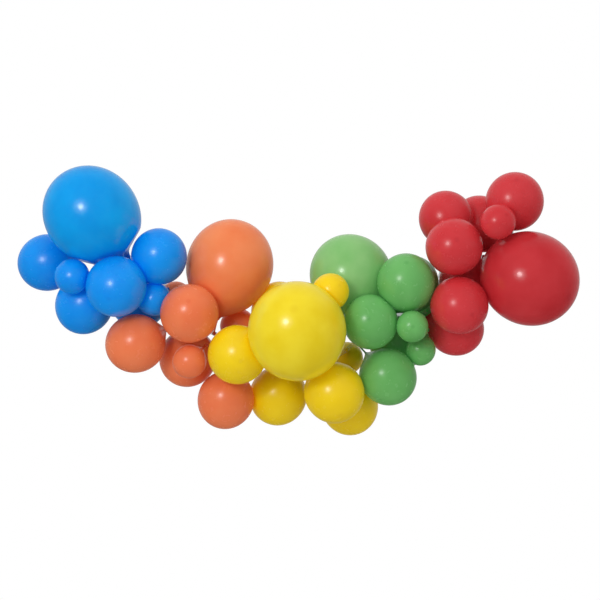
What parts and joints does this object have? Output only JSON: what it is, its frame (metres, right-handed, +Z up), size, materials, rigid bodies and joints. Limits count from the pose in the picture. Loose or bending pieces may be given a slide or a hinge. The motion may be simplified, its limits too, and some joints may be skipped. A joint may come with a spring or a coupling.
{
  "type": "balloon garland",
  "caption": "Wall garland of blown-up latex balloons in rainbow colour groups, knotted through a clear plastic strip that hangs by a flat tab at each end.",
  "frame": {"origin": "back face of the left end tab of the strip, below its hanging hole, where it lies against the wall", "axes": "+X along the wall to the right, +Y out of the tab's back into the wall, +Z up"},
  "size_m": [1.9661, 0.5795, 0.9505],
  "materials": {
    "clear_strip": "clear moulded strip",
    "latex_blue": "glossy stretched latex",
    "latex_orange": "glossy stretched latex",
    "latex_yellow": "glossy stretched latex",
    "latex_green": "glossy stretched latex",
    "latex_red": "glossy stretched latex"
  },
  "bodies": {
    "root": {"garland_strip": "clear_strip", "blue_large": "latex_blue", "blue_medium_1": "latex_blue", "blue_medium_2": "latex_blue", "blue_medium_3": "latex_blue", "blue_medium_4": "latex_blue", "blue_medium_5": "latex_blue", "blue_small_1": "latex_blue", "blue_small_2": "latex_blue", "orange_large": "latex_orange", "orange_medium_1": "latex_orange", "orange_medium_2": "latex_orange", "orange_medium_3": "latex_orange", "orange_medium_4": "latex_orange", "orange_small_1": "latex_orange", "orange_small_2": "latex_orange", "orange_small_3": "latex_orange", "yellow_large": "latex_yellow", "yellow_medium_1": "latex_yellow", "yellow_medium_2": "latex_yellow", "yellow_medium_3": "latex_yellow", "yellow_medium_4": "latex_yellow", "yellow_medium_5": "latex_yellow", "yellow_small_2": "latex_yellow", "green_large": "latex_green", "green_medium_1": "latex_green", "green_medium_2": "latex_green", "green_medium_3": "latex_green", "green_medium_4": "latex_green", "green_medium_5": "latex_green", "yellow_small_1": "latex_yellow", "green_small_1": "latex_green", "green_small_2": "latex_green", "green_small_3": "latex_green", "red_large": "latex_red", "red_medium_1": "latex_red", "red_medium_2": "latex_red", "red_medium_3": "latex_red", "red_medium_4": "latex_red", "red_medium_5": "latex_red", "red_medium_6": "latex_red", "red_medium_7": "latex_red", "red_small_1": "latex_red"}
  },
  "joints": []
}
